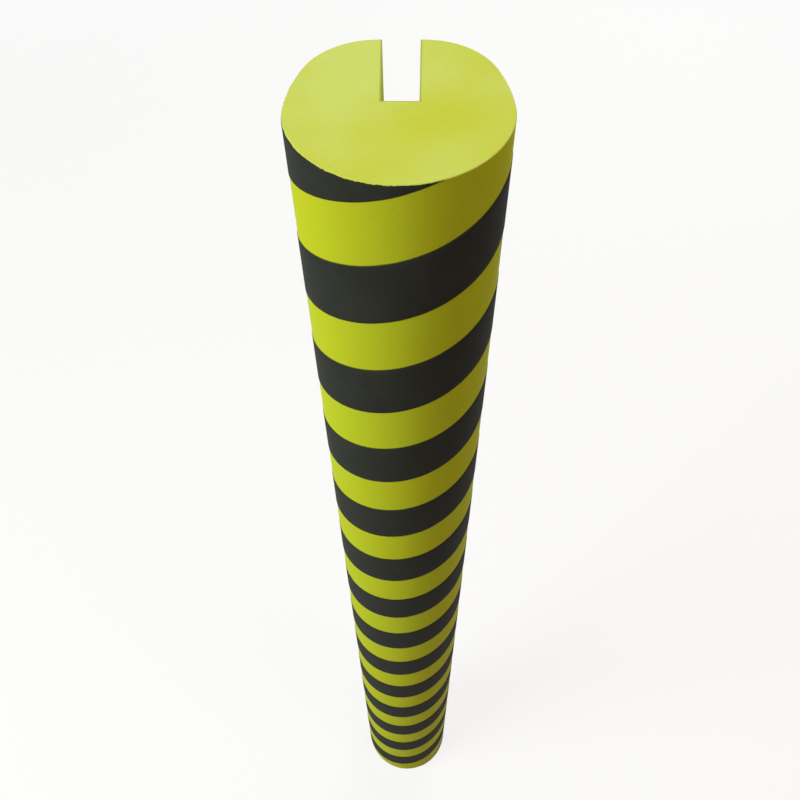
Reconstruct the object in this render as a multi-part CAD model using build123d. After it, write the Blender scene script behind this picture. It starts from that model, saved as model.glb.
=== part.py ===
from build123d import *
import math
import os

# Foam impact protector strip, standing on end.
# +Z runs along the strip, the round front faces -Y and the slot opens to the back, +Y.
# The origin is the middle of the bottom end. Sizes are in millimetres, angles in degrees.

# Foam bar: the front is an arc about the origin that stops short of each side by the cheek lead.
# A tighter cheek arc, a gently curved flank and a shoulder arc follow on each side,
# each running smoothly into the next, up to the flat back that the slot opens through.
strip_length = 1000.0
front_radius = 50.0
cheek_radius = 40.0
cheek_lead = 18.0
flank_radius = 90.0
shoulder_radius = 35.0
back_depth = 50.0
back_width = 21.0
slot_width = 17.0
slot_depth = 46.0
skin_thickness = 1.0

# Slanted black bands. Pitch, height and drop are measured down the front line,
# the drop from the top end to the upper edge of the first whole band.
# The bond is the room between the skin and the film of a band.
band_pitch = 74.2
band_height = 38.0
band_slant = 17.4
first_band_drop = 42.0
film_thickness = 0.3
film_bond = 0.12

# Tape on the slot floor and the paper liner over it
tape_thickness = 1.0
tape_side_gap = 1.5
liner_thickness = 0.3
liner_side_gap = 0.8
end_setback = 2.0

# Room by which a cutting shape passes the faces that it cuts
cut_margin = 5.0

# Values that follow from the sizes above
slot_floor = back_depth - slot_depth
climb_per_girth = math.tan(math.radians(band_slant))


def right_centres():
    """Centres of the cheek, the flank and the shoulder on the right side.

    Arcs that touch have centres apart by the difference of their radii. That sets the cheek by the front,
    and the flank by the cheek and the shoulder.
    """
    lead = math.radians(cheek_lead)
    cheek = Vector(math.cos(lead), -math.sin(lead)) * (front_radius - cheek_radius)
    shoulder = Vector(back_width / 2.0, back_depth - shoulder_radius)
    span = shoulder - cheek
    to_cheek = flank_radius - cheek_radius
    to_shoulder = flank_radius - shoulder_radius
    along = (to_cheek**2 - to_shoulder**2 + span.length**2) / (2.0 * span.length)
    across = math.sqrt(to_cheek**2 - along**2)
    backwards = span.normalized()
    inwards = Vector(-backwards.Y, backwards.X)
    flank = cheek + backwards * along + inwards * across
    return cheek, flank, shoulder


def direction(start, end):
    """Direction from one point of the section to another, counterclockwise from +X."""
    return math.degrees(math.atan2(end.Y - start.Y, end.X - start.X))


def arc(centre, radius, start_angle, end_angle):
    """Part of a circle in the plane of the section, counterclockwise from +X."""
    return Edge.make_circle(radius, Plane(origin=centre), start_angle, end_angle)


def girth(grow):
    """Edges from the left shoulder over the front to the right shoulder, moved outwards by grow."""
    cheek, flank, shoulder = right_centres()
    left_cheek = Vector(-cheek.X, cheek.Y)
    left_flank = Vector(-flank.X, flank.Y)
    left_shoulder = Vector(-shoulder.X, shoulder.Y)
    flank_start = direction(flank, cheek)
    flank_end = direction(flank, shoulder)
    return [
        arc(left_shoulder, shoulder_radius + grow, 90.0, 180.0 - flank_end),
        arc(left_flank, flank_radius + grow, 180.0 - flank_end, 180.0 - flank_start),
        arc(left_cheek, cheek_radius + grow, 180.0 - flank_start, 180.0 + cheek_lead),
        arc(Vector(), front_radius + grow, 180.0 + cheek_lead, 360.0 - cheek_lead),
        arc(cheek, cheek_radius + grow, -cheek_lead, flank_start),
        arc(flank, flank_radius + grow, flank_start, flank_end),
        arc(shoulder, shoulder_radius + grow, flank_end, 90.0),
    ]


def round_section(grow):
    """Section of the bar without its slot, moved outwards by grow."""
    edges = girth(grow)
    back = Edge.make_line(edges[-1] @ 1, edges[0] @ 0)
    return Face(Wire(edges + [back]))


def slotted_section(inset):
    """Section of the bar with its slot, drawn in on all sides by inset."""
    width = slot_width + 2.0 * inset
    depth = slot_depth + inset + cut_margin
    slot = Pos(0.0, slot_floor - inset) * Rectangle(width, depth, align=(Align.CENTER, Align.MIN))
    return round_section(-inset) - slot


def foam_core():
    """Bare foam inside the skin, cut square at both ends."""
    return extrude(slotted_section(skin_thickness), strip_length)


def skin():
    """Dense coat round the outside and through the slot, open at the cut ends."""
    return extrude(slotted_section(0.0) - slotted_section(skin_thickness), strip_length)


def ramp(edge, foot):
    """Spiral face that climbs along one edge of the girth, from a foot height."""
    climb = climb_per_girth * edge.length
    climb_per_turn = climb_per_girth * 2.0 * math.pi * edge.radius
    inner = Edge.make_helix(climb_per_turn, climb, edge.radius - cut_margin)
    outer = Edge.make_helix(climb_per_turn, climb, edge.radius + cut_margin)
    start_angle = direction(edge.arc_center, edge @ 0)
    place = Pos(edge.arc_center.X, edge.arc_center.Y, foot) * Rot(0.0, 0.0, start_angle)
    return place * Face.make_surface_from_curves(inner, outer)


def whole_band():
    """One band round the girth, its lower edge at Z = 0 on the front line, and its climb each way."""
    edges = girth(0.0)
    reach = climb_per_girth * sum(edge.length for edge in edges) / 2.0
    coat = round_section(film_bond + film_thickness) - round_section(film_bond)
    film = extrude(coat, reach + band_height, both=True)
    foot = -reach
    pieces = []
    for edge in edges:
        pieces.append(film & Solid.extrude(ramp(edge, foot), (0.0, 0.0, band_height)))
        foot += climb_per_girth * edge.length
    return pieces[0].fuse(*pieces[1:]), reach


def black_bands():
    """Every band that the strip has room for, from the top down, cut off square at the ends."""
    band, reach = whole_band()
    width = 2.0 * (front_radius + back_depth)
    stock = Box(width, width, strip_length, align=(Align.CENTER, Align.CENTER, Align.MIN))
    lower_edge = strip_length - first_band_drop - band_height
    while lower_edge + band_pitch - reach < strip_length:
        lower_edge += band_pitch
    bands = []
    while lower_edge + band_height + reach > 0.0:
        bands.append(stock & (Pos(0.0, 0.0, lower_edge) * band))
        lower_edge -= band_pitch
    return bands


def slot_layer(floor, thickness, side_gap):
    """Flat strip lying in the slot on a floor level, clear of its walls and short of its ends."""
    width = slot_width - 2.0 * side_gap
    length = strip_length - 2.0 * end_setback
    layer = Box(width, thickness, length, align=(Align.CENTER, Align.MIN, Align.MIN))
    return Pos(0.0, floor, end_setback) * layer


nodes = {
    "foam_core": foam_core(),
    "skin": skin(),
    "adhesive_tape": slot_layer(slot_floor, tape_thickness, tape_side_gap),
    "release_liner": slot_layer(slot_floor + tape_thickness, liner_thickness, liner_side_gap),
}
for number, band in enumerate(black_bands(), start=1):
    nodes[f"black_band_{number:02d}"] = band

os.makedirs("parts", exist_ok=True)
for name, solid in nodes.items():
    export_step(solid, f"parts/{name}.step")
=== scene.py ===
import math

import bmesh
import bpy
from bpy.props import FloatProperty, FloatVectorProperty, PointerProperty
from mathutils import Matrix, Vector, geometry, noise


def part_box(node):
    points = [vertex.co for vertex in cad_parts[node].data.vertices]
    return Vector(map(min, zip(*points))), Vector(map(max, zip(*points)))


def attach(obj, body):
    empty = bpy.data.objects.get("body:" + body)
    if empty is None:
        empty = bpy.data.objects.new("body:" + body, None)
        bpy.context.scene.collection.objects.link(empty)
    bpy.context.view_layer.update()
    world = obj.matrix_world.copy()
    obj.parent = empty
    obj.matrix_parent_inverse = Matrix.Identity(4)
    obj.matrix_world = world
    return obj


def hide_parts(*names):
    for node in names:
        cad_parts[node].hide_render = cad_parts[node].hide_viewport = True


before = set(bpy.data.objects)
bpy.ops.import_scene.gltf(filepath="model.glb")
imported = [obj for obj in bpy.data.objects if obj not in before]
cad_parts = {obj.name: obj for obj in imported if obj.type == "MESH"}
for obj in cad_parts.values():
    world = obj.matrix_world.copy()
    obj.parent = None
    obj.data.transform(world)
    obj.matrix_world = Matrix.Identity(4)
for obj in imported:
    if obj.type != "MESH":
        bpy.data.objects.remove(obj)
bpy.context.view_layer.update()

bl_info = {
    "name": "Foam protector strip",
    "version": (1, 0, 0),
    "blender": (4, 5, 0),
    "location": "3D View > Sidebar > Protector",
    "description": "Dresses a slotted foam protector strip with slanted black bands",
    "category": "Object",
}

# Places that the frame gives
skin_low, skin_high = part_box("skin")
core_low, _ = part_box("foam_core")
tape_low, tape_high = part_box("adhesive_tape")
liner_low, liner_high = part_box("release_liner")
band_nodes = sorted(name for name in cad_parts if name.startswith("black_band_"))

# Bands 3 and 4 are whole ones, well clear of both ends.
WHOLE_BAND = 2
whole_low, whole_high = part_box(band_nodes[WHOLE_BAND])
next_low, next_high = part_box(band_nodes[WHOLE_BAND + 1])

# Spacing of mesh points, in metres, and the distance under which two points are one
GIRTH_STEP = 0.0025
LENGTH_STEP = 0.004
SLOT_STEP = 0.004
CUT_STEP = 0.0022
CHIP_STEP = 0.0005
FILM_STEP = 0.002
SAME_POINT = 1e-7

# Counts of mesh steps, and the angle from which an edge stays sharp
FILM_ROWS = 9
LIP_STEPS = 4
LAYER_STEPS = 6
SHARP_ANGLE = math.radians(30.0)

# Soft waves in the moulded surface: waves to the metre, and the share of the finer ones
SWELL_WAVES = 9.0
SWELL_RIPPLES = 40.0
RIPPLE_SHARE = 0.25

# Marks of the blade on a cut end and of the print on a band's edge, in waves to the metre
BLADE_WAVES = 33.0
PRINT_WAVES = 90.0

# Chips in the black film at a cut end: how many to the metre, and their share of the chip depth
CHUNKS, CHUNK_SHARE = 330.0, 0.5
NOTCHES, NOTCH_SHARE = 800.0, 0.4
NICKS, NICK_SHARE = 420.0, 0.5

# What is left of the film's thickness at its edges, and the most of its height that a fringe takes
THIN_FILM = 0.15
FRINGE_LIMIT = 0.3

# Waves to the metre in the strips that lie in the slot
LAYER_WAVES_ACROSS = 60.0
LAYER_WAVES_ALONG = 25.0
LAYER_EDGE_WAVES = 70.0

# Marks of the mould in the skin, which also show through the film: how many to the metre,
# the stretch of the streaks along the strip, and the depth of all marks in metres
MOULD_GRAIN = 1500.0
MOULD_STREAKS = 90.0
STREAK_STRETCH = (1.0, 1.0, 0.06)
MOULD_DEPTH = 0.00008

# Stretch of the blade's drag marks and of the fibres in the paper
DRAG_STRETCH = (0.2, 1.0, 1.0)
FIBRE_STRETCH = (1.0, 1.0, 0.25)

# Spots on the section, in metres: strong colour beside the slot, and pale colour in a rear corner
STRONG_SPOT = (0.012, 0.0, 0.0)
PALE_CORNER = (-0.03, 0.035, 0.0)

# Middle of the section, and plain white as a colour socket takes it
MIDDLE = (0.0, 0.0, 0.0)
WHITE = (1.0, 1.0, 1.0, 1.0)


class StripSizes(bpy.types.PropertyGroup):
    """Sizes of the strip: lengths in metres, angles in radians."""

    length: FloatProperty(
        name="Length",
        description="Length of the strip",
        default=skin_high.z - skin_low.z,
        subtype="DISTANCE",
    )
    front_radius: FloatProperty(
        name="Front radius",
        description="Radius of the round front",
        default=-skin_low.y,
        subtype="DISTANCE",
    )
    back_depth: FloatProperty(
        name="Back depth",
        description="Distance from the centre of the front arc to the back",
        default=skin_high.y,
        subtype="DISTANCE",
    )
    shoulder_radius: FloatProperty(
        name="Shoulder radius",
        description="Radius that turns a flank into the back",
        default=0.035,
        subtype="DISTANCE",
    )
    cheek_radius: FloatProperty(
        name="Cheek radius",
        description="Radius that turns the front into a flank",
        default=0.040,
        subtype="DISTANCE",
    )
    cheek_lead: FloatProperty(
        name="Cheek lead",
        description="Angle by which the front arc stops short of the side",
        default=math.radians(18.0),
        subtype="ANGLE",
    )
    flank_radius: FloatProperty(
        name="Flank radius",
        description="Radius of the gently curved flanks",
        default=0.090,
        subtype="DISTANCE",
    )
    back_width: FloatProperty(
        name="Back width",
        description="Width of the flat back, across the slot",
        default=0.021,
        subtype="DISTANCE",
    )
    slot_width: FloatProperty(
        name="Slot width",
        description="Width of the slot in the back",
        default=0.017,
        subtype="DISTANCE",
    )
    slot_flare: FloatProperty(
        name="Slot flare",
        description="How much wider the hand-cut slot is at the back than half way in",
        default=0.0006,
        subtype="DISTANCE",
    )
    slot_shift: FloatProperty(
        name="Slot shift",
        description="How far the hand-cut slot lies off the middle, towards +X",
        default=0.0004,
        subtype="DISTANCE",
    )
    slot_floor: FloatProperty(
        name="Slot floor",
        description="Distance from the centre of the front arc to the floor of the slot",
        default=tape_low.y,
        subtype="DISTANCE",
    )
    skin_thickness: FloatProperty(
        name="Skin thickness",
        description="Thickness of the dense skin on the foam",
        default=core_low.y - skin_low.y,
        subtype="DISTANCE",
    )
    lip_radius: FloatProperty(
        name="Lip radius",
        description="Rounding of the edges of the slot",
        default=0.0006,
        subtype="DISTANCE",
    )
    rim_chamfer: FloatProperty(
        name="Rim chamfer",
        description="Worn edge of the skin round a cut end",
        default=0.0003,
        subtype="DISTANCE",
    )
    surface_swell: FloatProperty(
        name="Surface swell",
        description="Height of the soft waves in the moulded surface",
        default=0.00007,
        subtype="DISTANCE",
    )
    cut_relief: FloatProperty(
        name="Cut relief",
        description="Depth of the waves that the blade leaves on a cut end",
        default=0.0002,
        subtype="DISTANCE",
    )
    band_height: FloatProperty(
        name="Band height",
        description="Height of a black band along the strip",
        default=0.0385,
        subtype="DISTANCE",
    )
    band_pitch: FloatProperty(
        name="Band pitch",
        description="Distance from one black band to the next along the strip",
        default=(whole_low.z + whole_high.z - next_low.z - next_high.z) / 2.0,
        subtype="DISTANCE",
    )
    film_thickness: FloatProperty(
        name="Film thickness",
        description="Thickness of the black film",
        default=0.00025,
        subtype="DISTANCE",
    )
    print_fringe: FloatProperty(
        name="Print fringe",
        description="Width over which the edge of a black band thins out",
        default=0.0006,
        subtype="DISTANCE",
    )
    print_wobble: FloatProperty(
        name="Print wobble",
        description="Unevenness of the edges of a black band",
        default=0.00012,
        subtype="DISTANCE",
    )
    film_setback: FloatProperty(
        name="Film setback",
        description="How far the blade has rubbed the black film off along a cut end",
        default=0.0002,
        subtype="DISTANCE",
    )
    chip_depth: FloatProperty(
        name="Chip depth",
        description="Depth of the largest chips in the black film at a cut end",
        default=0.0011,
        subtype="DISTANCE",
    )
    paper_wave: FloatProperty(
        name="Paper wave",
        description="Height of the waves in the paper liner",
        default=0.00025,
        subtype="DISTANCE",
    )


class StripColours(bpy.types.PropertyGroup):
    """Colours of the strip."""

    skin_lime: FloatVectorProperty(
        name="Skin, lime",
        description="Greener yellow of the skin",
        default=(0.515, 0.650, 0.026),
        subtype="COLOR",
    )
    skin_deep: FloatVectorProperty(
        name="Skin, deep",
        description="Deeper yellow of the skin",
        default=(0.540, 0.620, 0.021),
        subtype="COLOR",
    )
    cut_pale: FloatVectorProperty(
        name="Cut foam, pale",
        description="Pale patches of the cut foam",
        default=(0.620, 0.735, 0.160),
        subtype="COLOR",
    )
    # The strong yellow is also the painted shade in the pores of the cut foam
    cut_deep: FloatVectorProperty(
        name="Cut foam, deep",
        description="Strong patches of the cut foam",
        default=(0.570, 0.645, 0.052),
        subtype="COLOR",
    )
    black: FloatVectorProperty(
        name="Band black",
        description="Black of the bands",
        default=(0.0305, 0.0345, 0.0300),
        subtype="COLOR",
    )
    black_haze: FloatVectorProperty(
        name="Band haze",
        description="Greyer patches of the bands",
        default=(0.0370, 0.0415, 0.0365),
        subtype="COLOR",
    )
    # Olive is also the painted shade in the pinholes of the skin
    olive: FloatVectorProperty(
        name="Olive",
        description="Olive of thin film, pinholes and the edge of the slot",
        default=(0.16, 0.17, 0.012),
        subtype="COLOR",
    )
    tape: FloatVectorProperty(
        name="Tape",
        description="White of the adhesive tape",
        default=(0.80, 0.80, 0.76),
        subtype="COLOR",
    )
    tape_dull: FloatVectorProperty(
        name="Tape, dull",
        description="Duller patches of the adhesive tape",
        default=(0.688, 0.688, 0.6536),
        subtype="COLOR",
    )
    paper: FloatVectorProperty(
        name="Liner paper",
        description="Colour of the paper liner",
        default=(0.78, 0.73, 0.60),
        subtype="COLOR",
    )
    paper_fibre: FloatVectorProperty(
        name="Liner fibre",
        description="Darker fibres in the paper liner",
        default=(0.66, 0.59, 0.45),
        subtype="COLOR",
    )


class StageSettings(bpy.types.PropertyGroup):
    """Floor, lamps and camera."""

    camera_place: FloatVectorProperty(
        name="Camera place",
        description="Where the camera stands",
        default=(0.0064, -0.3090, 1.2196),
        subtype="TRANSLATION",
    )
    camera_turn: FloatVectorProperty(
        name="Camera turn",
        description="How the camera is turned",
        default=(math.radians(35.490), math.radians(0.572), math.radians(0.708)),
        subtype="EULER",
    )
    camera_lens: FloatProperty(
        name="Camera lens",
        description="Focal length in millimetres on a sensor 36 mm wide",
        default=38.163,
        subtype="DISTANCE_CAMERA",
    )
    camera_nearest: FloatProperty(
        name="Camera nearest",
        description="Distance from which on the camera sees things",
        default=0.01,
        subtype="DISTANCE",
    )
    lamp_size: FloatProperty(
        name="Lamp size",
        description="Width and height of every lamp",
        default=1.2,
        subtype="DISTANCE",
    )
    lamp_aim: FloatVectorProperty(
        name="Lamp aim",
        description="Place that every lamp is turned to",
        default=(0.0, 0.0, 0.7),
        subtype="TRANSLATION",
    )
    key_place: FloatVectorProperty(
        name="Key lamp",
        description="Place of the large lamp at the upper left",
        default=(-1.75, -0.75, 1.65),
        subtype="TRANSLATION",
    )
    key_power: FloatProperty(
        name="Key power",
        description="Power of the large lamp at the upper left",
        default=41.0,
        unit="POWER",
    )
    key_colour: FloatVectorProperty(
        name="Key colour",
        description="Colour of the large lamp at the upper left",
        default=(0.96, 1.0, 0.96),
        subtype="COLOR",
    )
    fill_place: FloatVectorProperty(
        name="Fill lamp",
        description="Place of the weak warm lamp at the upper right",
        default=(1.5, -0.9, 2.4),
        subtype="TRANSLATION",
    )
    fill_power: FloatProperty(
        name="Fill power",
        description="Power of the weak warm lamp at the upper right",
        default=13.5,
        unit="POWER",
    )
    fill_colour: FloatVectorProperty(
        name="Fill colour",
        description="Colour of the weak warm lamp at the upper right",
        default=(1.0, 0.76, 0.68),
        subtype="COLOR",
    )
    top_place: FloatVectorProperty(
        name="Top lamp",
        description="Place of the lamp over the strip",
        default=(0.0, 0.1, 2.9),
        subtype="TRANSLATION",
    )
    top_power: FloatProperty(
        name="Top power",
        description="Power of the lamp over the strip",
        default=13.5,
        unit="POWER",
    )
    back_place: FloatVectorProperty(
        name="Back lamp",
        description="Place of the weak lamp behind the strip",
        default=(0.8, 2.1, 1.6),
        subtype="TRANSLATION",
    )
    back_power: FloatProperty(
        name="Back power",
        description="Power of the weak lamp behind the strip",
        default=23.0,
        unit="POWER",
    )
    top_colour: FloatVectorProperty(
        name="Top colour",
        description="Colour of the lamps over and behind the strip",
        default=(1.0, 1.0, 0.97),
        subtype="COLOR",
    )
    room_colour: FloatVectorProperty(
        name="Room colour",
        description="Colour of the light from all round",
        default=(1.0, 0.80, 0.65),
        subtype="COLOR",
    )
    room_strength: FloatProperty(
        name="Room strength",
        description="Strength of the light from all round",
        default=0.12,
    )
    floor_colour: FloatVectorProperty(
        name="Floor colour",
        description="Colour of the floor as it is seen",
        default=(0.93, 0.93, 0.93),
        subtype="COLOR",
    )
    floor_glow: FloatVectorProperty(
        name="Floor glow",
        description="Colour of the light that the floor throws back on the strip",
        default=(0.50, 0.34, 0.22),
        subtype="COLOR",
    )
    floor_white: FloatProperty(
        name="Floor white",
        description="Share of plain white in the floor as it is seen",
        default=0.8,
        subtype="FACTOR",
    )
    floor_reach: FloatProperty(
        name="Floor reach",
        description="How far the floor goes to each side",
        default=15.0,
        subtype="DISTANCE",
    )
    fade_start: FloatProperty(
        name="Fade start",
        description="Distance from the strip at which the floor starts to fade to white",
        default=0.6,
        subtype="DISTANCE",
    )
    fade_end: FloatProperty(
        name="Fade end",
        description="Distance from the strip at which the floor is all white",
        default=3.5,
        subtype="DISTANCE",
    )


class Value:
    """One output of a node. Sums, differences and products of values add Math nodes."""

    def __init__(self, shading, socket):
        self.shading = shading
        self.socket = socket

    def __add__(self, other):
        return self.shading.maths("ADD", self, other)

    def __radd__(self, other):
        return self.shading.maths("ADD", other, self)

    def __sub__(self, other):
        return self.shading.maths("SUBTRACT", self, other)

    def __rsub__(self, other):
        return self.shading.maths("SUBTRACT", other, self)

    def __mul__(self, other):
        return self.shading.maths("MULTIPLY", self, other)

    def __rmul__(self, other):
        return self.shading.maths("MULTIPLY", other, self)

    def ramp(self, low, high):
        """0 up to low, 1 from high on, and smooth between them."""
        sockets = {"Value": self, "From Min": low, "From Max": high}
        return self.shading.node("ShaderNodeMapRange", {"interpolation_type": "SMOOTHSTEP"}, sockets)


class Shading:
    """The nodes of one material or of the world."""

    # Sockets of a Mix node that mixes colours
    MIX_FACTOR, MIX_FIRST, MIX_SECOND, MIX_RESULT = 0, 6, 7, 2

    def __init__(self, tree, output_kind):
        self.tree = tree
        self.tree.nodes.clear()
        self.output = self.tree.nodes.new(output_kind)

    def node(self, kind, settings, sockets, result=0):
        """Adds a node, sets it up, fills or links its sockets and gives one of its outputs."""
        made = self.tree.nodes.new(kind)
        for name, setting in settings.items():
            setattr(made, name, setting)
        for name, value in sockets.items():
            if isinstance(value, Value):
                self.tree.links.new(value.socket, made.inputs[name])
            else:
                made.inputs[name].default_value = value
        return Value(self, made.outputs[result])

    def maths(self, operation, first, second):
        """Result of one sum with two values or numbers."""
        return self.node("ShaderNodeMath", {"operation": operation}, {0: first, 1: second})

    def mix(self, share, first, second):
        """One colour into another."""
        sockets = {self.MIX_FACTOR: share, self.MIX_FIRST: first, self.MIX_SECOND: second}
        return self.node("ShaderNodeMix", {"data_type": "RGBA"}, sockets, self.MIX_RESULT)

    def place(self, stretch=(1.0, 1.0, 1.0)):
        """Place on the strip in metres, with each axis multiplied by its stretch."""
        spot = self.node("ShaderNodeTexCoord", {}, {}, "Object")
        return self.node("ShaderNodeVectorMath", {"operation": "MULTIPLY"}, {0: spot, 1: stretch})

    def distance(self, spot):
        """Distance in metres from a line along the strip through a spot."""
        sockets = {0: self.place((1.0, 1.0, 0.0)), 1: spot}
        return self.node("ShaderNodeVectorMath", {"operation": "DISTANCE"}, sockets, "Value")

    def point_value(self, name):
        """Number that the points of the mesh carry under a name."""
        return self.node("ShaderNodeAttribute", {"attribute_name": name}, {}, "Fac")

    def cloud(self, place, per_metre, detail=2.0, roughness=0.5):
        """Soft noise from 0 to 1."""
        sockets = {"Vector": place, "Scale": per_metre, "Detail": detail, "Roughness": roughness}
        return self.node("ShaderNodeTexNoise", {}, sockets)

    def cells(self, place, per_metre):
        """Distance to the nearest of scattered points, in cell sizes."""
        return self.node("ShaderNodeTexVoronoi", {}, {"Vector": place, "Scale": per_metre})

    def surface(self, colour, roughness, height, depth, specular):
        """Principled surface with a bumped normal, as the material's output."""
        normal = self.node("ShaderNodeBump", {}, {"Height": height, "Distance": depth, "Strength": 1.0})
        sockets = {
            "Base Color": colour,
            "Roughness": roughness,
            "Specular IOR Level": specular,
            "Normal": normal,
        }
        self.close(self.node("ShaderNodeBsdfPrincipled", {}, sockets))

    def seen_directly(self):
        """1 for what the camera, a reflection or clear glass shows, 0 for light that bounces on."""
        rays = ["Is Camera Ray", "Is Glossy Ray", "Is Transmission Ray"]
        camera, glossy, through = [self.node("ShaderNodeLightPath", {}, {}, ray) for ray in rays]
        return self.maths("MAXIMUM", self.maths("MAXIMUM", camera, glossy), through)

    def close(self, shader):
        """Links the finished shader to the output."""
        self.tree.links.new(shader.socket, self.output.inputs["Surface"])


def opaque(colour):
    """Colour with full cover, as a colour socket takes it."""
    return (*colour, 1.0)


def new_finish(name):
    """An empty material, and the shading that fills it."""
    material = bpy.data.materials.new(name)
    material.use_nodes = True
    return material, Shading(material.node_tree, "ShaderNodeOutputMaterial")


def mould_marks(shading):
    """Long streaks and fine grain that the mould leaves on the skin."""
    streaks = shading.cloud(shading.place(STREAK_STRETCH), per_metre=MOULD_STREAKS, detail=3.0)
    grain = shading.cloud(shading.place(), per_metre=MOULD_GRAIN)
    return streaks, grain


def skin_finish(colours):
    """Satin moulded skin: even yellow with faint long streaks, fine grain and a few pinholes with
    painted shade in them.
    """
    material, shading = new_finish("moulded_skin")
    place = shading.place()
    streaks, grain = mould_marks(shading)
    patches = shading.cloud(place, per_metre=16.0, detail=3.0)
    pits = 1.0 - shading.cells(place, per_metre=420.0).ramp(0.04, 0.16)
    tone = (0.6 * patches + 0.4 * streaks).ramp(0.3, 0.7)
    colour = shading.mix(tone, opaque(colours.skin_lime), opaque(colours.skin_deep))
    # Painted shade: the pinholes are darkened towards olive, on top of their bump
    colour = shading.mix(0.25 * pits, colour, opaque(colours.olive))
    roughness = 0.52 + 0.12 * patches + 0.1 * (grain - 0.5)
    height = 0.35 * grain - pits + 0.6 * streaks
    shading.surface(colour, roughness, height, depth=MOULD_DEPTH, specular=0.02)
    return material


def cut_finish(colours):
    """Cut foam: pale and strong patches, open cells, pores with painted shade in them, drag marks and an
    olive line along the slot.
    """
    material, shading = new_finish("cut_foam")
    place = shading.place()
    patches = shading.cloud(place, per_metre=24.0, detail=1.5)
    flecks = shading.cloud(place, per_metre=150.0, detail=3.0, roughness=0.6)
    marks = shading.cloud(shading.place(DRAG_STRETCH), per_metre=240.0)
    cells = shading.cells(place, per_metre=2200.0)
    pores = 1.0 - shading.cells(place, per_metre=500.0).ramp(0.05, 0.2)
    by_slot = 1.0 - shading.distance(STRONG_SPOT).ramp(0.006, 0.03)
    off_corner = shading.distance(PALE_CORNER).ramp(0.0, 0.085)
    slot_edge = shading.point_value("slot_edge").ramp(0.0, 0.75)
    tone = 0.8 * patches + 0.12 * flecks + 0.12 * by_slot + 0.3 * off_corner
    colour = shading.mix(tone.ramp(0.34, 1.0), opaque(colours.cut_pale), opaque(colours.cut_deep))
    # Painted shade: the pores are deepened towards the strong yellow, on top of their bump
    colour = shading.mix(0.25 * pores, colour, opaque(colours.cut_deep))
    colour = shading.mix(0.4 * slot_edge, colour, opaque(colours.olive))
    roughness = 0.82 + 0.12 * flecks
    height = 0.5 * cells + 0.5 * marks - 0.8 * pores
    shading.surface(colour, roughness, height, depth=0.00012, specular=0.1)
    return material


def band_finish(colours):
    """Matt black film: greyer haze, the marks of the skin below, and edges that thin to olive."""
    material, shading = new_finish("black_film")
    streaks, grain = mould_marks(shading)
    haze = shading.cloud(shading.place(), per_metre=40.0, detail=4.0, roughness=0.6)
    cover = (shading.point_value("ink") + 0.25 * (grain - 0.5)).ramp(0.05, 0.95)
    colour = shading.mix(haze.ramp(0.35, 0.75), opaque(colours.black), opaque(colours.black_haze))
    colour = shading.mix(cover, opaque(colours.olive), colour)
    roughness = 0.55 + 0.15 * haze + 0.1 * (grain - 0.5)
    height = 0.35 * grain + 0.6 * streaks
    shading.surface(colour, roughness, height, depth=MOULD_DEPTH, specular=0.014)
    return material


def tape_finish(colours):
    """White foam tape: fine closed cells and a dull face."""
    material, shading = new_finish("foam_tape")
    place = shading.place()
    cells = shading.cells(place, per_metre=1300.0)
    patches = shading.cloud(place, per_metre=60.0, detail=3.0)
    colour = shading.mix(patches.ramp(0.3, 0.7), opaque(colours.tape), opaque(colours.tape_dull))
    roughness = 0.7 + 0.15 * patches
    shading.surface(colour, roughness, cells, depth=0.00006, specular=0.2)
    return material


def liner_finish(colours):
    """Silicone-coated paper: cloudy fibres under a smooth, slightly shiny face."""
    material, shading = new_finish("release_paper")
    along = shading.place(FIBRE_STRETCH)
    fibres = shading.cloud(along, per_metre=900.0, detail=4.0, roughness=0.65)
    cloudy = shading.cloud(shading.place(), per_metre=120.0, detail=3.0)
    creases = shading.cloud(along, per_metre=60.0)
    tone = (0.5 * fibres + 0.5 * cloudy).ramp(0.38, 0.68)
    colour = shading.mix(tone, opaque(colours.paper), opaque(colours.paper_fibre))
    roughness = 0.34 + 0.14 * fibres
    height = 0.1 * fibres + creases
    shading.surface(colour, roughness, height, depth=0.00025, specular=0.5)
    return material


def finish_named(name, make, colours):
    """The finish of that name, made when it is first asked for."""
    return bpy.data.materials.get(name) or make(colours)


def positive_noise(place):
    """Smooth noise from 0 to 1."""
    return 0.5 + 0.5 * noise.noise(place)


def swell(sizes, place):
    """How far the soft surface stands off its true line: long waves with finer ones on them."""
    waves = noise.noise(place * SWELL_WAVES)
    ripples = noise.noise(place * SWELL_RIPPLES)
    return sizes.surface_swell * ((1.0 - RIPPLE_SHARE) * waves + RIPPLE_SHARE * ripples)


def cut_depth(sizes, place):
    """How far the cut face lies below its true plane."""
    return sizes.cut_relief * positive_noise(place * BLADE_WAVES)


def chips(sizes, distance, height):
    """How far the black film is chipped back from a cut end, at a distance round the strip."""
    spot = Vector((distance, height, 0.0))
    chunks = max(0.0, noise.cell(spot * CHUNKS)) ** 2.0
    notches = max(0.0, noise.cell(spot * NOTCHES)) ** 2.0
    nicks = max(0.0, noise.noise(spot * NICKS))
    share = CHUNK_SHARE * chunks + NOTCH_SHARE * notches + NICK_SHARE * nicks
    return sizes.film_setback + sizes.chip_depth * share


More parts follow.
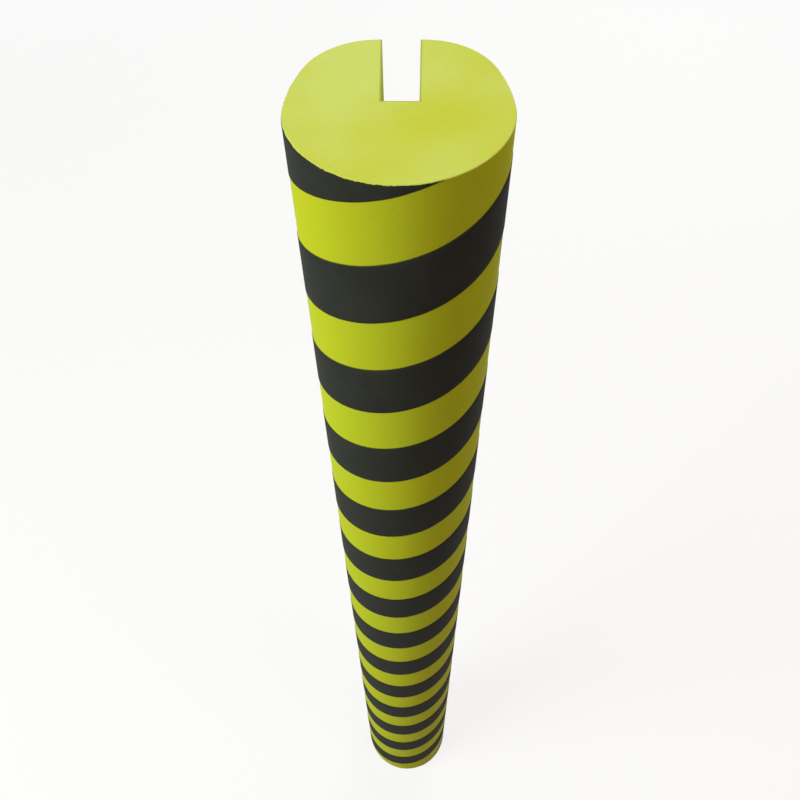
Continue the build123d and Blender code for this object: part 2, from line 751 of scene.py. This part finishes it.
class Girth:
    """The outside of the section, by the distance round it from the front line.

    Its arcs run smoothly into each other, so the centres of two that meet lie apart by the difference
    of their radii.
    """

    def __init__(self, sizes):
        lead = sizes.cheek_lead
        cheek = Vector((math.cos(lead), -math.sin(lead))) * (sizes.front_radius - sizes.cheek_radius)
        shoulder = Vector((sizes.back_width / 2.0, sizes.back_depth - sizes.shoulder_radius))
        to_cheek = sizes.flank_radius - sizes.cheek_radius
        to_shoulder = sizes.flank_radius - sizes.shoulder_radius
        span = (shoulder - cheek).length
        backwards = (shoulder - cheek) / span
        inwards = Vector((-backwards.y, backwards.x))
        along = (to_cheek**2 - to_shoulder**2 + span**2) / (2.0 * span)
        flank = cheek + backwards * along + inwards * math.sqrt(to_cheek**2 - along**2)
        flank_start = math.atan2(cheek.y - flank.y, cheek.x - flank.x)
        flank_end = math.atan2(shoulder.y - flank.y, shoulder.x - flank.x)
        quarter = math.pi / 2.0
        self.arcs = [
            (Vector((0.0, 0.0)), sizes.front_radius, -quarter, -lead),
            (cheek, sizes.cheek_radius, -lead, flank_start),
            (flank, sizes.flank_radius, flank_start, flank_end),
            (shoulder, sizes.shoulder_radius, flank_end, quarter),
        ]
        self.half = sum(radius * (end - start) for centre, radius, start, end in self.arcs)

    def at(self, distance):
        """Point and outward direction, to +X for a positive distance."""
        side = math.copysign(1.0, distance)
        rest = abs(distance)
        for centre, radius, start, end in self.arcs:
            angle = start + rest / radius
            if angle <= end:
                break
            rest -= radius * (end - start)
        outward = Vector((math.cos(angle), math.sin(angle)))
        point = centre + outward * radius
        return Vector((side * point.x, point.y)), Vector((side * outward.x, outward.y))


def even_steps(first, last, count):
    """A count of even steps from first to last, both included."""
    return [first + (last - first) * number / count for number in range(count + 1)]


def steps_between(first, last, step):
    """Even steps of about one size from first to last, both included."""
    return even_steps(first, last, max(1, round(abs(last - first) / step)))


def half_outline(sizes, side):
    """Outline of one side, from the front line to the middle of the slot floor.

    Each place on it is a point, an outward direction, and 1 on the lips and in the slot or else 0.
    """
    girth = Girth(sizes)
    shift = side * sizes.slot_shift
    mouth = (sizes.slot_width + sizes.slot_flare) / 2.0 + shift
    root = (sizes.slot_width - sizes.slot_flare) / 2.0 + shift
    floor = sizes.slot_floor
    lip = Vector((mouth + sizes.lip_radius, sizes.back_depth - sizes.lip_radius))
    outline = [(*girth.at(distance), 0.0) for distance in steps_between(0.0, girth.half, GIRTH_STEP)]
    for number in range(LIP_STEPS + 1):
        angle = math.pi / 2.0 * (1.0 + number / LIP_STEPS)
        outward = Vector((math.cos(angle), math.sin(angle)))
        outline.append((lip + outward * sizes.lip_radius, outward, 1.0))
    for y in steps_between(lip.y, floor, SLOT_STEP)[1:-1]:
        wall = root + (mouth - root) * (y - floor) / (lip.y - floor)
        outline.append((Vector((wall, y)), Vector((-1.0, 0.0)), 1.0))
    outline.append((Vector((root, floor)), Vector((-1.0, 1.0)), 1.0))
    for x in steps_between(root, shift, SLOT_STEP)[1:]:
        outline.append((Vector((x, floor)), Vector((0.0, 1.0)), 1.0))
    return [
        (Vector((side * point.x, point.y)), Vector((side * out.x, out.y)), slot)
        for point, out, slot in outline
    ]


def whole_outline(sizes):
    """Outline of both sides, once round, with the places that they share given once."""
    return half_outline(sizes, 1.0) + half_outline(sizes, -1.0)[-2:0:-1]


def new_piece(name, points, faces, finishes, finish_numbers=None):
    """A mesh object with outward faces, smooth but for its sharp edges."""
    mesh = bpy.data.meshes.new(name)
    mesh.from_pydata(points, [], faces)
    for finish in finishes:
        mesh.materials.append(finish)
    if finish_numbers:
        mesh.polygons.foreach_set("material_index", finish_numbers)
    shell = bmesh.new()
    shell.from_mesh(mesh)
    bmesh.ops.recalc_face_normals(shell, faces=shell.faces)
    shell.to_mesh(mesh)
    shell.free()
    mesh.shade_smooth()
    mesh.set_sharp_from_angle(angle=SHARP_ANGLE)
    mesh.validate()
    piece = bpy.data.objects.new(name, mesh)
    bpy.context.scene.collection.objects.link(piece)
    return piece


def set_point_value(piece, name, values):
    """Gives each point of a piece a number for its finish to read."""
    piece.data.attributes.new(name, "FLOAT", "POINT").data.foreach_set("value", values)


def loft(loops, closed):
    """Points and faces of a skin over loops of equal length, joined up or with both ends capped."""
    width = len(loops[0])
    points = [point for loop in loops for point in loop]
    faces = []
    last = len(loops) if closed else len(loops) - 1
    for row in range(last):
        here = row * width
        there = (row + 1) % len(loops) * width
        for number in range(width):
            beside = (number + 1) % width
            faces.append((here + number, here + beside, there + beside, there + number))
    if not closed:
        faces.append(tuple(range(width)))
        faces.append(tuple(range(last * width, last * width + width)))
    return points, faces


def cut_face(rim, reach):
    """Finely divided flat face inside a rim: its spots, its triangles and the rim's spot numbers."""
    grid = [
        Vector((x, y))
        for x in steps_between(-reach, reach, CUT_STEP)
        for y in steps_between(-reach, reach, CUT_STEP)
    ]
    inner = [spot for spot in grid if min((spot - point).length for point in rim) > CUT_STEP / 2.0]
    count = len(rim)
    edges = [(number, (number + 1) % count) for number in range(count)]
    whole_rim = [tuple(range(count))]
    inside_only = 1
    cut = geometry.delaunay_2d_cdt(rim + inner, edges, whole_rim, inside_only, SAME_POINT)
    flat, triangles, sources = cut[0], cut[2], cut[3]
    used = sorted({corner for triangle in triangles for corner in triangle})
    number_of = {corner: number for number, corner in enumerate(used)}
    number_from = {source: number_of[corner] for corner in used for source in sources[corner]}
    spots = [flat[corner] for corner in used]
    faces = [tuple(number_of[corner] for corner in triangle) for triangle in triangles]
    return spots, faces, [number_from[source] for source in range(count)]


def make_foam_core(sizes, colours):
    """Bare foam with a finely divided face at each cut end."""
    rim = [point - out * sizes.skin_thickness for point, out, _ in whole_outline(sizes)]
    spots, end_faces, rim_numbers = cut_face(rim, sizes.front_radius)
    points = []
    for end, inwards in ((0.0, 1.0), (sizes.length, -1.0)):
        for spot in spots:
            point = Vector((spot.x, spot.y, end))
            point.z += inwards * cut_depth(sizes, point)
            points.append(point)
    top = len(spots)
    faces = end_faces + [tuple(top + number for number in face) for face in end_faces]
    for here, beside in zip(rim_numbers, rim_numbers[1:] + rim_numbers[:1]):
        faces.append((here, beside, top + beside, top + here))
    return new_piece("foam_body", points, faces, [finish_named("cut_foam", cut_finish, colours)])


def skin_loop(sizes, point, out, levels):
    """One slice along the skin: up its outside and down its inside."""
    chamfer = sizes.rim_chamfer
    bottom = Vector((point.x, point.y, 0.0))
    top = Vector((point.x, point.y, sizes.length))
    bottom.z += cut_depth(sizes, bottom)
    top.z -= cut_depth(sizes, top)
    heights = [(bottom.z, chamfer), (bottom.z + chamfer, 0.0)]
    heights += [(level, 0.0) for level in levels]
    heights += [(top.z - chamfer, 0.0), (top.z, chamfer)]
    loop = []
    for height, inset in heights:
        place = Vector((point.x, point.y, height))
        offset = out * (swell(sizes, place) - inset)
        loop.append(place + offset.to_3d())
    inner = point - out * sizes.skin_thickness
    loop.append(Vector((inner.x, inner.y, top.z)))
    loop.append(Vector((inner.x, inner.y, bottom.z)))
    return loop


def make_skin(sizes, colours):
    """Dense skin round the outside and through the slot, with its cut edge at both ends."""
    levels = steps_between(LENGTH_STEP, sizes.length - LENGTH_STEP, LENGTH_STEP)
    outline = whole_outline(sizes)
    loops = [skin_loop(sizes, point, out, levels) for point, out, _ in outline]
    points, faces = loft(loops, closed=True)
    width = len(loops[0])
    moulded, cut = 0, 1
    bottom_chamfer, top_chamfer, top_edge, bottom_edge = 0, width - 4, width - 3, width - 1
    cut_rows = {bottom_chamfer, top_chamfer, top_edge, bottom_edge}
    finish_numbers = [cut if number % width in cut_rows else moulded for number in range(len(faces))]
    finishes = [
        finish_named("moulded_skin", skin_finish, colours),
        finish_named("cut_foam", cut_finish, colours),
    ]
    piece = new_piece("outer_skin", points, faces, finishes, finish_numbers)
    inside = [0.0, 0.0]
    slot_edge = []
    for _, _, slot in outline:
        slot_edge += [slot] * (width - len(inside)) + inside
    set_point_value(piece, "slot_edge", slot_edge)
    return piece


class Band:
    """Run of one black band on the strip, by the distance round it from the front line."""

    def __init__(self, sizes, number):
        self.sizes = sizes
        self.girth = Girth(sizes)
        middle = (whole_low.z + whole_high.z) / 2.0 - (number - WHOLE_BAND) * sizes.band_pitch
        self.lower = middle - sizes.band_height / 2.0
        self.upper = middle + sizes.band_height / 2.0
        self.climb = (whole_high.z - whole_low.z - sizes.band_height) / 2.0 / self.girth.half
        self.least_height = sizes.rim_chamfer / 4.0

    def distances(self):
        """Distances at which the film has points, closer together where a cut end chips it."""
        length = self.sizes.length
        first = max(-self.girth.half, (self.least_height - self.upper) / self.climb)
        last = min(self.girth.half, (length - self.least_height - self.lower) / self.climb)
        cut = self.upper + self.climb * last > length or self.lower + self.climb * first < 0.0
        fringe = self.sizes.print_fringe
        inner = steps_between(first + fringe, last - fringe, CHIP_STEP if cut else FILM_STEP)
        return [first, *inner, last]

    def printed_edge(self, edge, distance):
        """Height of an edge as it was printed, from its height on the front line."""
        wobble = self.sizes.print_wobble * noise.noise(Vector((distance * PRINT_WAVES, edge, 0.0)))
        return edge + self.climb * distance + wobble

    def edges(self, point, distance):
        """Heights of the lower and the upper edge, and for each whether it is still as printed."""
        bottom = Vector((point.x, point.y, 0.0))
        top = Vector((point.x, point.y, self.sizes.length))
        floor = cut_depth(self.sizes, bottom) + chips(self.sizes, distance, bottom.z)
        ceiling = self.sizes.length - cut_depth(self.sizes, top) - chips(self.sizes, distance, top.z)
        low = self.printed_edge(self.lower, distance)
        high = self.printed_edge(self.upper, distance)
        low_printed, high_printed = low >= floor, high <= ceiling
        high = max(min(high, ceiling), floor + self.least_height)
        low = min(max(low, floor), high - self.least_height)
        return low, high, low_printed, high_printed


def make_band(sizes, colours, number):
    """One black film on the skin, with printed edges that thin out and chipped edges at the cut ends."""
    band = Band(sizes, number)
    loops = []
    ink = []
    for distance in band.distances():
        point, out = band.girth.at(distance)
        low, high, low_printed, high_printed = band.edges(point, distance)
        at_back = abs(distance) == band.girth.half
        fringe = min(sizes.print_fringe / (high - low), FRINGE_LIMIT)
        loop = []
        for share in (0.0, *even_steps(fringe, 1.0 - fringe, FILM_ROWS), 1.0):
            place = Vector((point.x, point.y, low + (high - low) * share))
            thin = at_back or (share == 0.0 and low_printed) or (share == 1.0 and high_printed)
            lift = sizes.film_thickness * (THIN_FILM if thin or share in (0.0, 1.0) else 1.0)
            loop.append(place + (out * (swell(sizes, place) + lift)).to_3d())
            ink.append(0.0 if thin else 1.0)
        for share in (1.0, 0.5, 0.0):
            place = Vector((point.x, point.y, low + (high - low) * share))
            loop.append(place + (out * swell(sizes, place)).to_3d())
            ink.append(1.0)
        loops.append(loop)
    points, faces = loft(loops, closed=False)
    finishes = [finish_named("black_film", band_finish, colours)]
    piece = new_piece(f"band_film_{number + 1:02d}", points, faces, finishes)
    set_point_value(piece, "ink", ink)
    return piece


def make_slot_layer(name, low, high, wave, finish):
    """Flat strip in the slot with softly waved faces and edges that aren't quite straight."""
    half = (high.x - low.x) / 2.0
    third = (high.y - low.y) / 3.0
    across = even_steps(-half + third, half - third, LAYER_STEPS)
    lower_face = (low.y, low.y + third, across, 1.0)
    upper_face = (high.y, high.y - third, across[::-1], -1.0)
    loops = []
    for z in steps_between(low.z, high.z, LENGTH_STEP):
        loop = []
        for face, edge, row, side in (lower_face, upper_face):
            for x in row:
                spot = Vector((x * LAYER_WAVES_ACROSS, z * LAYER_WAVES_ALONG, low.y))
                loop.append(Vector((x, face + wave * positive_noise(spot), z)))
            reach = half - third * abs(noise.noise(Vector((side, z * LAYER_EDGE_WAVES, low.y))))
            loop.append(Vector((side * reach, edge + wave * 0.5, z)))
        loops.append(loop)
    points, faces = loft(loops, closed=False)
    return new_piece(name, points, faces, [finish])


class PROTECTOR_OT_foam_core(bpy.types.Operator):
    """Make the bare foam inside the strip"""

    bl_idname = "protector.foam_core"
    bl_label = "Foam core"

    def execute(self, context):
        piece = make_foam_core(context.scene.strip_sizes, context.scene.strip_colours)
        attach(piece, "strip")
        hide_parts("foam_core")
        return {"FINISHED"}


class PROTECTOR_OT_skin(bpy.types.Operator):
    """Make the dense yellow skin on the foam"""

    bl_idname = "protector.skin"
    bl_label = "Skin"

    def execute(self, context):
        piece = make_skin(context.scene.strip_sizes, context.scene.strip_colours)
        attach(piece, "strip")
        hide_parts("skin")
        return {"FINISHED"}


class PROTECTOR_OT_bands(bpy.types.Operator):
    """Make the slanted black bands"""

    bl_idname = "protector.bands"
    bl_label = "Black bands"

    def execute(self, context):
        for number, node in enumerate(band_nodes):
            piece = make_band(context.scene.strip_sizes, context.scene.strip_colours, number)
            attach(piece, "strip")
            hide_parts(node)
        return {"FINISHED"}


class PROTECTOR_OT_tape(bpy.types.Operator):
    """Make the adhesive tape on the floor of the slot"""

    bl_idname = "protector.tape"
    bl_label = "Adhesive tape"

    def execute(self, context):
        finish = finish_named("foam_tape", tape_finish, context.scene.strip_colours)
        piece = make_slot_layer("slot_tape", tape_low, tape_high, wave=0.0, finish=finish)
        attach(piece, "strip")
        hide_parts("adhesive_tape")
        return {"FINISHED"}


class PROTECTOR_OT_liner(bpy.types.Operator):
    """Make the paper liner over the tape"""

    bl_idname = "protector.liner"
    bl_label = "Release liner"

    def execute(self, context):
        finish = finish_named("release_paper", liner_finish, context.scene.strip_colours)
        wave = context.scene.strip_sizes.paper_wave
        piece = make_slot_layer("tape_liner", liner_low, liner_high, wave=wave, finish=finish)
        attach(piece, "liner")
        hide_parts("release_liner")
        return {"FINISHED"}


def floor_finish(stage):
    """Pale floor, seen almost white, that keeps the strip's shadow and fades out to white far off."""
    material, shading = new_finish("pale_floor")
    seen = shading.seen_directly()
    colour = shading.mix(seen, opaque(stage.floor_glow), opaque(stage.floor_colour))
    bare = shading.node("ShaderNodeBsdfDiffuse", {}, {"Color": colour})
    white = shading.node("ShaderNodeEmission", {}, {"Color": WHITE, "Strength": 1.0})
    far = shading.distance(MIDDLE).ramp(stage.fade_start, stage.fade_end)
    cover = seen * (stage.floor_white + (1.0 - stage.floor_white) * far)
    shading.close(shading.node("ShaderNodeMixShader", {}, {0: cover, 1: bare, 2: white}))
    return material


def set_world(scene, stage):
    """Dim warm light from all round, seen directly as white."""
    world = bpy.data.worlds.new("room_light")
    world.use_nodes = True
    scene.world = world
    shading = Shading(world.node_tree, "ShaderNodeOutputWorld")
    room = {"Color": opaque(stage.room_colour), "Strength": stage.room_strength}
    dim = shading.node("ShaderNodeBackground", {}, room)
    white = shading.node("ShaderNodeBackground", {}, {"Color": WHITE, "Strength": 1.0})
    seen = shading.seen_directly()
    shading.close(shading.node("ShaderNodeMixShader", {}, {0: seen, 1: dim, 2: white}))


def make_floor(stage):
    """Wide level floor under the strip."""
    reach = stage.floor_reach
    corners = [(-reach, -reach, 0.0), (reach, -reach, 0.0), (reach, reach, 0.0), (-reach, reach, 0.0)]
    return new_piece("floor", corners, [(0, 1, 2, 3)], [floor_finish(stage)])


def add_lamp(scene, name, place, power, colour):
    """Square lamp at a place, turned to the aim of all lamps."""
    lamp = bpy.data.lights.new(name, "AREA")
    lamp.size = scene.strip_stage.lamp_size
    lamp.energy = power
    lamp.color = colour
    holder = bpy.data.objects.new(name, lamp)
    holder.location = place
    aim = Vector(scene.strip_stage.lamp_aim) - Vector(place)
    holder.rotation_euler = aim.to_track_quat("-Z", "Y").to_euler()
    scene.collection.objects.link(holder)


def add_camera(scene, stage):
    """Camera that sees the strip as the photograph shows it."""
    lens = bpy.data.cameras.new("camera")
    lens.lens = stage.camera_lens
    lens.clip_start = stage.camera_nearest
    camera = bpy.data.objects.new("camera", lens)
    camera.location = stage.camera_place
    camera.rotation_euler = stage.camera_turn
    scene.collection.objects.link(camera)
    scene.camera = camera


class PROTECTOR_OT_stage(bpy.types.Operator):
    """Set up the floor, the lamps and the camera"""

    bl_idname = "protector.stage"
    bl_label = "Stage"

    def execute(self, context):
        scene = context.scene
        stage = scene.strip_stage
        floor = make_floor(stage)
        set_world(scene, stage)
        add_lamp(scene, "key_lamp", stage.key_place, stage.key_power, stage.key_colour)
        add_lamp(scene, "fill_lamp", stage.fill_place, stage.fill_power, stage.fill_colour)
        add_lamp(scene, "top_lamp", stage.top_place, stage.top_power, stage.top_colour)
        add_lamp(scene, "back_lamp", stage.back_place, stage.back_power, stage.top_colour)
        add_camera(scene, stage)
        scene.view_settings.view_transform = "Standard"
        return {"FINISHED"}


class PROTECTOR_PT_panel(bpy.types.Panel):
    """The steps that make the strip, and its sizes and colours"""

    bl_idname = "PROTECTOR_PT_panel"
    bl_label = "Foam protector strip"
    bl_space_type = "VIEW_3D"
    bl_region_type = "UI"
    bl_category = "Protector"

    def draw(self, context):
        column = self.layout.column()
        for operator in OPERATORS:
            column.operator(operator.bl_idname)
        scene = context.scene
        for group in (scene.strip_sizes, scene.strip_colours, scene.strip_stage):
            box = self.layout.box()
            for name in group.__annotations__:
                box.prop(group, name)


OPERATORS = (
    PROTECTOR_OT_foam_core,
    PROTECTOR_OT_skin,
    PROTECTOR_OT_bands,
    PROTECTOR_OT_tape,
    PROTECTOR_OT_liner,
    PROTECTOR_OT_stage,
)
CLASSES = (StripSizes, StripColours, StageSettings, *OPERATORS, PROTECTOR_PT_panel)


def register():
    for cls in CLASSES:
        bpy.utils.register_class(cls)
    bpy.types.Scene.strip_sizes = PointerProperty(type=StripSizes)
    bpy.types.Scene.strip_colours = PointerProperty(type=StripColours)
    bpy.types.Scene.strip_stage = PointerProperty(type=StageSettings)


def unregister():
    del bpy.types.Scene.strip_stage
    del bpy.types.Scene.strip_colours
    del bpy.types.Scene.strip_sizes
    for cls in reversed(CLASSES):
        bpy.utils.unregister_class(cls)


def main():
    register()
    bpy.ops.protector.foam_core()
    bpy.ops.protector.skin()
    bpy.ops.protector.bands()
    bpy.ops.protector.tape()
    bpy.ops.protector.liner()
    bpy.ops.protector.stage()


if __name__ == "__main__":
    main()
